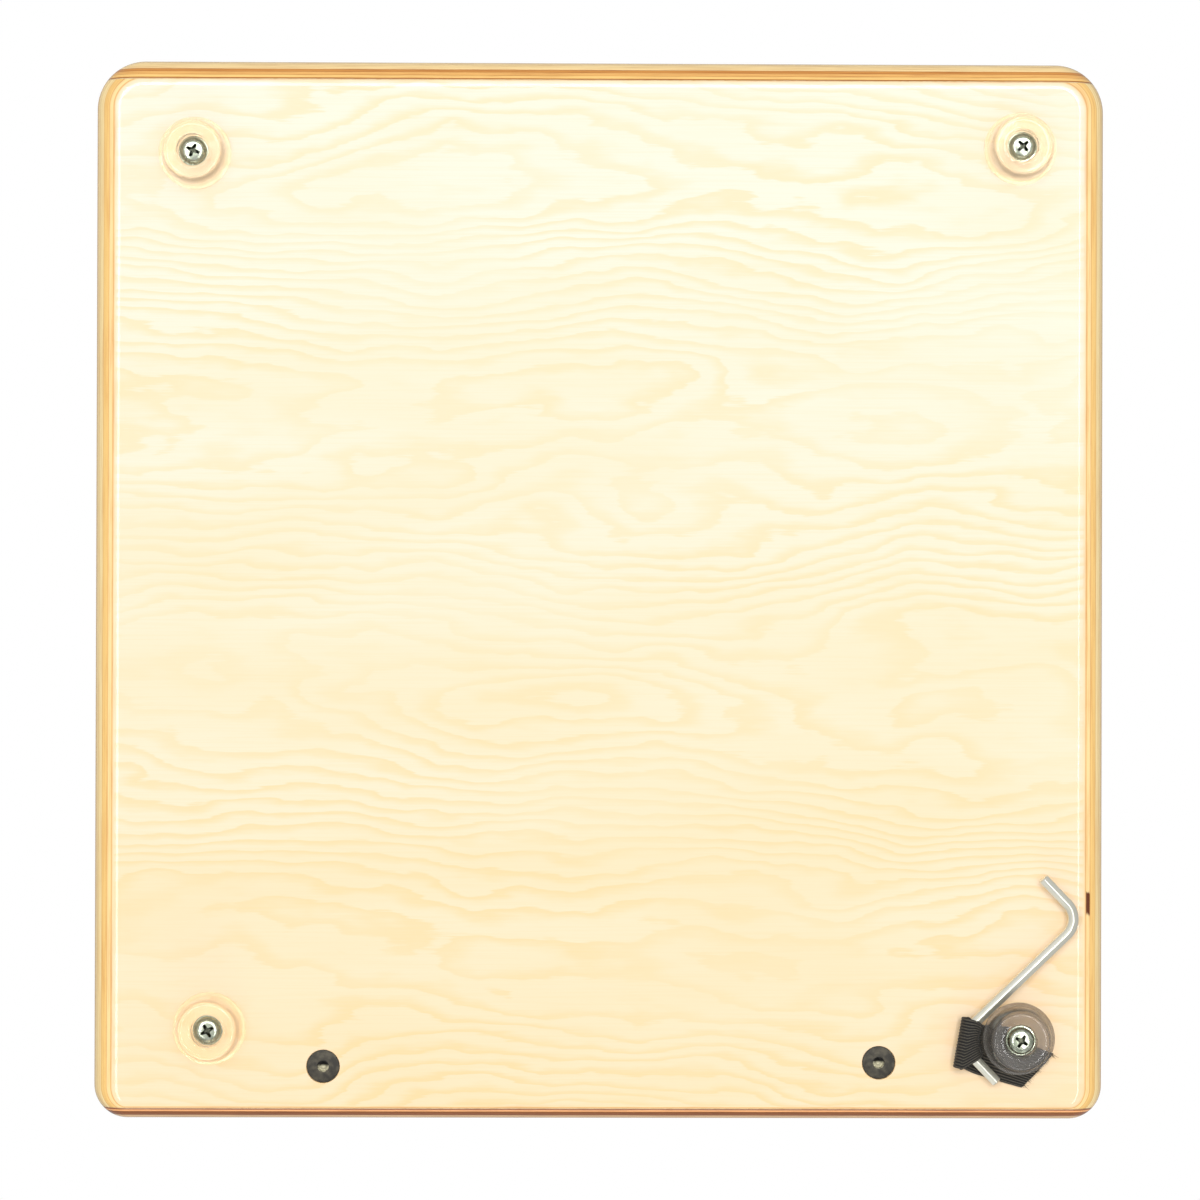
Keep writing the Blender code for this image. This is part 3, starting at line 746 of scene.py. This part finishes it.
def make_foot(place, rubber, zinc, recess_shade_steel, turn):
    centre, radius, low, high = measured(f"foot_{place}")
    at = (centre.x, centre.y, 0)
    _, washer_radius, washer_low, washer_high = measured(f"foot_washer_{place}")
    bore, hole = washer_radius + 0.3 * MM, 2.2 * MM
    recess = washer_high + 0.3 * MM
    tip = radius - 1.9 * MM
    profile = rounded(
        [
            (hole, high, 0.0),
            (radius, high, 0.35 * MM),
            (radius, high - 1.5 * MM, 0.4 * MM),
            (radius - 0.8 * MM, high - 1.9 * MM, 0.4 * MM),
            (tip, 0.6 * MM, 0.9 * MM),
            (tip - 1.0 * MM, 0.0, 0.5 * MM),
            (bore + 0.5 * MM, 0.0, 0.25 * MM),
            (bore, 0.7 * MM, 0.4 * MM),
            (bore, recess, 0.0),
            (hole, recess, 0.0),
        ],
        closed=True,
    )
    foot = lathe(f"rubber_foot_{place}", profile, rubber, at, ring=True)
    show(foot, "box", f"foot_{place}")

    washer = lathe(
        f"washer_{place}",
        rounded(
            [
                (hole, washer_high, 0.0),
                (washer_radius, washer_high, 0.15 * MM),
                (washer_radius, washer_low, 0.2 * MM),
                (hole, washer_low, 0.1 * MM),
            ],
            closed=True,
        ),
        zinc,
        at,
        ring=True,
    )
    show(washer, "box", f"foot_washer_{place}")

    _, head_radius, head, tip_z = measured(f"foot_screw_{place}")
    seat = washer_low - 0.05 * MM
    shank = 1.85 * MM
    profile = [(0, tip_z), (shank * 0.5, tip_z - 1.6 * MM), (shank, tip_z - 3.4 * MM), (shank, seat)]
    profile += [(head_radius - 0.1 * MM, seat), (head_radius, seat - 0.12 * MM)]
    rise = seat - head
    for k in range(11):
        t = math.pi / 2 * k / 10
        profile.append(
            (head_radius * (0.35 + 0.65 * math.cos(t) ** 0.7), seat - 0.35 * rise - 0.65 * rise * math.sin(t))
        )
    profile.append((0, head))
    screw = lathe(f"pan_screw_{place}", profile, zinc, at)
    recess_cut = prism("recess", cross_outline(0.53 * head_radius, 0.85 * MM, 0.62 * MM),
                       -0.1 * MM, 1.7 * MM, (centre.x, centre.y, head))
    narrowing = 0.45
    for vertex in recess_cut.data.vertices:
        if vertex.co.z > MM:
            vertex.co.x *= narrowing
            vertex.co.y *= narrowing
    recess_cut.rotation_euler = (0, 0, turn)
    # the cross recess takes the darker zinc, painted shade for its depth
    for made in (screw, recess_cut):
        made.data.materials.clear()
        made.data.materials.append(zinc)
        made.data.materials.append(recess_shade_steel)
    recess_cut.data.polygons.foreach_set("material_index", [1] * len(recess_cut.data.polygons))
    combine(screw, recess_cut)
    discard(recess_cut)
    screw.data.polygons.foreach_set("use_smooth", [True] * len(screw.data.polygons))
    screw.data.set_sharp_from_angle(angle=math.radians(40))
    show(screw, "box", f"foot_screw_{place}")


# ---------------------------------------------------------------- tuners and strings


def hexagon(across_flats, turn=0.0):
    reach = across_flats / 2 / math.cos(math.pi / 6)
    return [
        (reach * math.cos(turn + math.pi / 3 * k), reach * math.sin(turn + math.pi / 3 * k))
        for k in range(6)
    ]


def make_tension_screws(black):
    for side, turn in (("left", 12), ("right", -8)):
        node = f"tension_screw_{side}"
        centre, radius, low, high = measured(node)
        shank = 2.5 * MM
        cone = radius - shank
        thread = []
        z, pitch = low + 16 * MM, 0.8 * MM
        while z < high - 2 * MM:
            thread += [(shank, z), (shank - 0.4 * MM, z + pitch / 2)]
            z += pitch
        profile = [(0, low), (radius - 0.22 * MM, low), (radius - 0.06 * MM, low + 0.05 * MM)]
        profile += [(radius, low + 0.2 * MM), (shank, low + 0.3 * MM + cone), *thread]
        profile += [(shank, high - MM), (shank - 0.8 * MM, high), (0, high)]
        at = (centre.x, centre.y, 0)
        screw = lathe(node + "_shown", profile, black, at, segments=64)
        socket = prism("socket", hexagon(3.05 * MM, math.radians(turn)), -0.1 * MM, 2.1 * MM,
                       (centre.x, centre.y, low))
        drill = lathe("drill", [(0, 1.9 * MM), (1.4 * MM, 1.9 * MM), (0, 2.9 * MM)], None,
                      (centre.x, centre.y, low), segments=32)
        mouth = [(0, -0.1 * MM), (1.9 * MM, -0.1 * MM), (1.4 * MM, 0.3 * MM), (0, 0.3 * MM)]
        ease = lathe("ease", mouth, None, (centre.x, centre.y, low), segments=48)
        for cutter in (socket, drill, ease):
            combine(screw, cutter)
        discard(socket, drill, ease)
        screw.data.polygons.foreach_set("use_smooth", [True] * len(screw.data.polygons))
        screw.data.set_sharp_from_angle(angle=math.radians(30))
        show(screw, node, node)


def make_strings(steel, zinc):
    for side in ("left", "right"):
        softened_copy(f"string_anchor_{side}", 0.7 * MM, zinc, f"string_anchor_{side}")
        for place in ("outer", "inner"):
            softened_copy(f"string_post_{side}_{place}", 0.25 * MM, zinc, "box")
            make_string(side, place, steel)


def make_string(side, place, steel):
    """A string with fine rings along it in place of its winding. It stretches between post and anchor."""
    node = f"string_{side}_{place}"
    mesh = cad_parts[node].data
    highest = max(v.co.z for v in mesh.vertices)
    lowest = min(v.co.z for v in mesh.vertices)

    def middle(z):
        near = [v.co for v in mesh.vertices if abs(v.co.z - z) < 1e-5]
        return sum(near, Vector()) / len(near)

    start, end = middle(highest), middle(lowest)
    radius, rows, sides = 0.33 * MM, [], 12
    count = 240
    for i in range(count + 1):
        spot = start.lerp(end, i / count)
        swell = 1.0 + 0.12 * (i % 2)
        rows.append(
            [
                spot + Vector((math.cos(2 * math.pi * k / sides), math.sin(2 * math.pi * k / sides), 0))
                * radius * swell * (0.9 if i in (0, count) else 1)
                for k in range(sides)
            ]
        )
    string = tube(f"snare_{side}_{place}", rows, steel, angle=60)
    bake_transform(string)
    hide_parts(node)


# ---------------------------------------------------------------- hex key and elastic loop

KEY_FLATS, KEY_BEND_RADIUS = 3.0 * MM, 6.5 * MM
KEY_LOWER_BEND = Vector((-105.8, -132.8)) * MM
KEY_MIDDLE_ANGLE = math.radians(136.2)
KEY_MIDDLE, KEY_LOWER_ARM, KEY_UPPER_ARM = 51.5 * MM, 17.2 * MM, 16.8 * MM


def key_path():
    """The key's centre line in plan, as points and unit directions."""
    along = Vector((math.cos(KEY_MIDDLE_ANGLE), math.sin(KEY_MIDDLE_ANGLE)))
    arm = Vector((-along.y, along.x))
    upper = KEY_LOWER_BEND + along * KEY_MIDDLE
    path = [(KEY_LOWER_BEND + arm * KEY_LOWER_ARM, -arm)]
    path += quarter_bend(KEY_LOWER_BEND, -arm, along)
    path += quarter_bend(upper, along, -arm)
    path.append((upper - arm * KEY_UPPER_ARM, -arm))
    return path


def quarter_bend(corner, incoming, outgoing, steps=28):
    centre = corner + (outgoing - incoming) * KEY_BEND_RADIUS
    points = []
    for k in range(steps + 1):
        turn = math.pi / 2 * k / steps
        c, s = math.cos(turn), math.sin(turn)
        spot = centre + (incoming * s - outgoing * c) * KEY_BEND_RADIUS
        points.append((spot, incoming * c + outgoing * s))
    return points


def eased_hexagon(across_flats, ease, steps=3):
    """A hexagon with small arcs for corners, starting with a corner straight up."""
    corners = [Vector(c) for c in hexagon(across_flats)]
    outline = []
    for k, corner in enumerate(corners):
        before, after = corners[k - 1], corners[(k + 1) % 6]
        start = corner + (before - corner).normalized() * ease
        end = corner + (after - corner).normalized() * ease
        for s in range(steps + 1):
            t = s / steps
            outline.append(start * (1 - t) ** 2 + corner * 2 * t * (1 - t) + end * t * t)
    return [(spot.y, spot.x) for spot in outline]


def make_hex_key(steel):
    low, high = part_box("hex_key")
    height = (low[2] + high[2]) / 2
    section = eased_hexagon(KEY_FLATS, 0.22 * MM)
    path = key_path()
    ease = 0.25 * MM
    stations = [(path[0][0], path[0][1], 0.86), (path[0][0] + path[0][1] * ease, path[0][1], 1.0)]
    stations += [(spot, direction, 1.0) for spot, direction in path[1:-1]]
    end, heading = path[-1]
    stations += [(end - heading * ease, heading, 1.0), (end, heading, 0.86)]
    rows = []
    for spot, direction, scale in stations:
        side = Vector((-direction.y, direction.x))
        row = []
        for across, up in section:
            place = spot + side * across * scale
            row.append((place.x, place.y, height + up * scale))
        rows.append(row)
    key = tube("bent_hex_key", rows, steel, angle=25)
    show(key, "hex_key", "hex_key")


ELASTIC_RIBS, ELASTIC_HALF = 17, 0.35 * MM


def elastic_stations():
    """Back edge, middle and front edge of the band in plan, and its height, in millimetres."""
    wood_side, outer = 10.35, 5.55
    back, front = Vector((-107.6, -126.0)), Vector((-105.0, -140.8))
    outward = Vector((0.984, 0.177))
    middle = (back + front) / 2
    stations = [
        (Vector((-134.8, -137.0)), Vector((-130.2, -142.2)), Vector((-125.3, -147.1)), wood_side),
        (Vector((-122.0, -131.9)), Vector((-120.3, -138.6)), Vector((-118.6, -145.2)), wood_side),
        (Vector((-114.0, -128.6)), Vector((-112.8, -135.9)), Vector((-111.4, -143.0)), wood_side),
    ]
    radius = (wood_side - outer) / 2
    for k in range(9):
        turn = math.pi / 2 - math.pi * k / 8
        shift = outward * radius * (math.cos(turn) - 1)
        z = outer + radius * (1 + math.sin(turn))
        stations.append((back + shift, middle + shift, front + shift, z))
    for back_x, middle_x, front_x, back_y, front_y, z in (
        (-111.6, -110.9, -111.4, -127.0, -138.9, 5.65),
        (-113.0, -111.9, -112.8, -127.9, -137.9, 6.4),
        (-113.5, -112.2, -113.2, -128.2, -137.6, 7.9),
        (-114.0, -112.6, -113.7, -128.5, -137.2, 9.15),
        (-116.2, -114.6, -116.0, -128.7, -136.9, 9.35),
        (-121.0, -120.4, -121.0, -128.7, -137.0, 9.35),
        (-127.8, -127.8, -127.8, -129.0, -137.0, 9.35),
    ):
        middle_y = (back_y + front_y) / 2
        points = (back_x, back_y), (middle_x, middle_y), (front_x, front_y)
        stations.append((*(Vector(p) for p in points), z))
    return stations


def smooth_rows(rows, per_gap):
    """Catmull-Rom through rows of points."""
    made = []
    last = len(rows) - 1
    for i in range(last):
        a, b, c, d = (rows[min(max(k, 0), last)] for k in (i - 1, i, i + 1, i + 2))
        for s in range(per_gap + (1 if i == last - 1 else 0)):
            t = s / per_gap
            made.append(
                [
                    0.5 * ((2 * q) + (r - p) * t + (2 * p - 5 * q + 4 * r - e) * t * t
                           + (3 * q - p - 3 * r + e) * t ** 3)
                    for p, q, r, e in zip(a, b, c, d)
                ]
            )
    return made


def rib_height(t):
    """How high the band stands `t` of the way across it, from 0 in a furrow to 1 on a rib."""
    return abs(math.sin(math.pi * ELASTIC_RIBS * t)) ** 0.7


def make_elastic(black):
    columns = ELASTIC_RIBS * 6 + 1
    coarse = []
    for back, middle, front, z in elastic_stations():
        coarse.append([Vector((*back, z)) * MM, Vector((*middle, z)) * MM, Vector((*front, z)) * MM])
    rows = []
    for back, middle, front in smooth_rows(coarse, 8):
        row = []
        for j in range(columns):
            t = j / (columns - 1)
            row.append(back * (1 - t) * (1 - 2 * t) + middle * 4 * t * (1 - t) + front * t * (2 * t - 1))
        rows.append(row)
    count = len(rows)
    faces_up, faces_down = [], []
    for i in range(count):
        for j in range(columns):
            along = rows[min(i + 1, count - 1)][j] - rows[max(i - 1, 0)][j]
            over = rows[i][min(j + 1, columns - 1)] - rows[i][max(j - 1, 0)]
            t = j / (columns - 1)
            half = ELASTIC_HALF * (0.35 + 0.65 * rib_height(t)) * (1 if 0 < i < count - 1 else 0.7)
            normal = along.cross(over).normalized() * half
            faces_up.append(rows[i][j] + normal)
            faces_down.append(rows[i][j] - normal)
    vertices = faces_up + faces_down
    shift, faces = len(faces_up), []
    for i in range(count - 1):
        for j in range(columns - 1):
            a, b = i * columns + j, (i + 1) * columns + j
            faces.append((a, a + 1, b + 1, b))
            faces.append((shift + a, shift + b, shift + b + 1, shift + a + 1))
    rim = [i * columns for i in range(count)]
    rim += [(count - 1) * columns + j for j in range(1, columns)]
    rim += [i * columns + columns - 1 for i in range(count - 2, -1, -1)]
    rim += list(range(columns - 2, 0, -1))
    for k in range(len(rim)):
        a, b = rim[k], rim[(k + 1) % len(rim)]
        faces.append((a, b, shift + b, shift + a))
    band = new_object("elastic_band", mesh_from("elastic_band", vertices, faces, 70), black)
    heights = band.data.attributes.new("rib", "FLOAT", "POINT").data
    for k in range(len(vertices)):
        heights[k].value = rib_height((k % columns) / (columns - 1))
    show(band, "box", "elastic_loop")
    fray(rows[0], [p - q for p, q in zip(rows[0], rows[2])], black)


def fray(edge, headings, black):
    """Loose threads at the band's cut end."""
    random.seed(5)
    vertices, faces = [], []
    for k in range(90):
        j = random.randrange(len(edge))
        root = edge[j] - headings[j].normalized() * 0.3 * MM
        heading = headings[j].normalized() + Vector((random.uniform(-0.5, 0.5), random.uniform(-0.5, 0.5), 0))
        corner = 1.0 if j < 6 or random.random() < 0.15 else 0.45
        length = random.uniform(0.5, 2.6) * MM * corner
        droop = Vector((0, 0, random.uniform(-0.5, 0.12))) * MM
        curl = Vector((random.uniform(-0.6, 0.6), random.uniform(-0.6, 0.6), 0)) * MM * corner
        radius = random.uniform(0.05, 0.1) * MM
        add_thread(vertices, faces, root, heading.normalized() * length, droop, curl, radius)
    mesh = mesh_from("elastic_loose_threads", vertices, faces, 60)
    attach(new_object(mesh.name, mesh, black), "box")


def add_thread(vertices, faces, root, reach, droop, curl, radius, steps=4, sides=5):
    start = len(vertices)
    for i in range(steps + 1):
        t = i / steps
        spot = root + reach * t + droop * t * t + curl * t * t
        for k in range(sides):
            turn = 2 * math.pi * k / sides
            offset = Vector((math.cos(turn), 0, math.sin(turn))) * radius * (1 - 0.6 * t)
            vertices.append(spot + offset)
    for i in range(steps):
        for k in range(sides):
            a, b = start + i * sides, start + (i + 1) * sides
            faces.append((a + k, a + (k + 1) % sides, b + (k + 1) % sides, b + k))
    faces.append(tuple(range(start, start + sides)))
    faces.append(tuple(range(start + steps * sides, start + (steps + 1) * sides)))


# ---------------------------------------------------------------- studio


def area_light(name, at, target, size, power, size_y=None):
    data = bpy.data.lights.new(name, "AREA")
    data.shape = "RECTANGLE"
    data.size, data.size_y = size, size_y or size
    data.energy = power
    light = bpy.data.objects.new(name, data)
    light.location = at
    light.rotation_euler = (Vector(target) - Vector(at)).to_track_quat("-Z", "Y").to_euler()
    bpy.context.collection.objects.link(light)
    return light


CAMERA_DISTANCE = 1.2
CAMERA_OFF_X, CAMERA_OFF_Y = 14 * MM, -6.4 * MM
CAMERA_ROLL = 0.00275
AIM_X, AIM_Y = -0.1 * MM, -2.9 * MM
VIEW_WIDTH = 0.3580  # what the frame shows across, level with the box's widest outline


def make_camera():
    """Below the drum, a hair off square, looking up with the playing plate at the bottom of the picture."""
    data = bpy.data.cameras.new("camera")
    camera = bpy.data.objects.new("camera", data)
    aim = Vector((AIM_X, AIM_Y, BOX_BOTTOM + EDGE_ROUND))
    camera.location = aim + Vector((CAMERA_OFF_X, CAMERA_OFF_Y, -CAMERA_DISTANCE))
    upright = Vector((math.sin(CAMERA_ROLL), math.cos(CAMERA_ROLL), 0))
    depth = (camera.location - aim).normalized()
    right = upright.cross(depth).normalized()
    camera.rotation_euler = Matrix((right, depth.cross(right), depth)).transposed().to_euler()
    data.sensor_width = 36
    data.lens = 36 * CAMERA_DISTANCE / VIEW_WIDTH
    bpy.context.collection.objects.link(camera)
    bpy.context.scene.camera = camera


# How bright the surroundings are, by the height of the direction looked in: -1 is straight down.
LOW_DIRECTION, HIGH_DIRECTION = -0.75, 0.1
LOW_LIGHT, HIGH_LIGHT = 0.65, 0.43


def make_world():
    """White to the camera. To everything else it is brighter from below than from the sides and above."""
    world = bpy.data.worlds.new("studio")
    bpy.context.scene.world = world
    world.use_nodes = True
    tree = world.node_tree
    tree.nodes.clear()
    output = tree.nodes.new("ShaderNodeOutputWorld")
    rays = tree.nodes.new("ShaderNodeLightPath")
    mixed = tree.nodes.new("ShaderNodeMixShader")
    fill, backdrop = (tree.nodes.new("ShaderNodeBackground") for _ in range(2))
    fill.inputs[0].default_value = rgb(250, 250, 252)
    direction = tree.nodes.new("ShaderNodeTexCoord")
    height = tree.nodes.new("ShaderNodeSeparateXYZ")
    strength = tree.nodes.new("ShaderNodeMapRange")
    tree.links.new(direction.outputs["Generated"], height.inputs[0])
    tree.links.new(height.outputs[2], strength.inputs[0])
    limits = (LOW_DIRECTION, HIGH_DIRECTION, LOW_LIGHT, HIGH_LIGHT)
    for socket, value in zip(list(strength.inputs)[1:5], limits):
        socket.default_value = value
    tree.links.new(strength.outputs[0], fill.inputs[1])
    backdrop.inputs[0].default_value = (1, 1, 1, 1)
    backdrop.inputs[1].default_value = 1.0
    tree.links.new(rays.outputs["Is Camera Ray"], mixed.inputs[0])
    tree.links.new(fill.outputs[0], mixed.inputs[1])
    tree.links.new(backdrop.outputs[0], mixed.inputs[2])
    tree.links.new(mixed.outputs[0], output.inputs["Surface"])


def make_studio():
    """Three long strips below put the bright lines on the rounded edges. The other lamps light the sides."""
    below = -2.4
    area_light("strip_left", (0.88, 0.0, below), (0.14, 0, 0), 1.7, 14, size_y=0.3)
    area_light("strip_right", (-0.62, 0.0, below), (-0.14, 0, 0), 1.7, 14.5, size_y=0.24)
    area_light("strip_back", (0.0, 0.8, below), (0, 0.15, 0), 1.7, 21, size_y=0.44)
    area_light("low_front", (0.0, -1.2, -0.35), (0, -0.15, 0), 1.1, 2.6, size_y=0.4)
    for name, at, power in (("above_front", (-1.2, -1.6, 1.9), 40), ("above_back", (1.4, 1.5, 1.7), 30)):
        area_light(name, at, (0, 0, 0.25), 1.2, power).visible_glossy = False
    size = 6.0
    corners = [(-size, -size, 0), (size, -size, 0), (size, size, 0), (-size, size, 0)]
    floor = new_object("floor", mesh_from("floor", corners, [(0, 1, 2, 3)]), one_sided_floor())
    make_world()
    bpy.context.scene.view_settings.view_transform = "Standard"


# ---------------------------------------------------------------- build


def build():
    rubber = clear_rubber("clear_rubber", rgb(246, 240, 229), rgb(238, 222, 196), 0.15)
    # painted shade: a darker copy of the clear rubber for the foot over the black elastic
    shaded_rubber = clear_rubber("shaded_clear_rubber", rgb(216, 212, 208), rgb(100, 98, 94), 0.3)
    zinc = plated_steel("zinc", rgb(196, 202, 184), rgb(140, 148, 128), 0.16, 0.3, 0.9)
    # painted shade: a darker copy of the zinc for the screws' cross recesses
    recess = plated_steel("recess_shade_zinc", rgb(104, 108, 92), rgb(60, 62, 52), 0.3, 0.5, 0.9)
    key_steel = plated_steel("key_zinc", rgb(242, 241, 226), rgb(228, 227, 210), 0.33, 0.4, 0.05)
    black = turned_black_steel()
    steel = plated_steel("string_steel", rgb(200, 200, 194), rgb(150, 148, 140), 0.2, 0.35, 0.8)
    elastic = woven_elastic()
    make_boards()
    make_battens()
    make_feet(rubber, shaded_rubber, zinc, recess)
    make_tension_screws(black)
    make_strings(steel, zinc)
    make_hex_key(key_steel)
    make_elastic(elastic)
    make_studio()
    make_camera()


build()
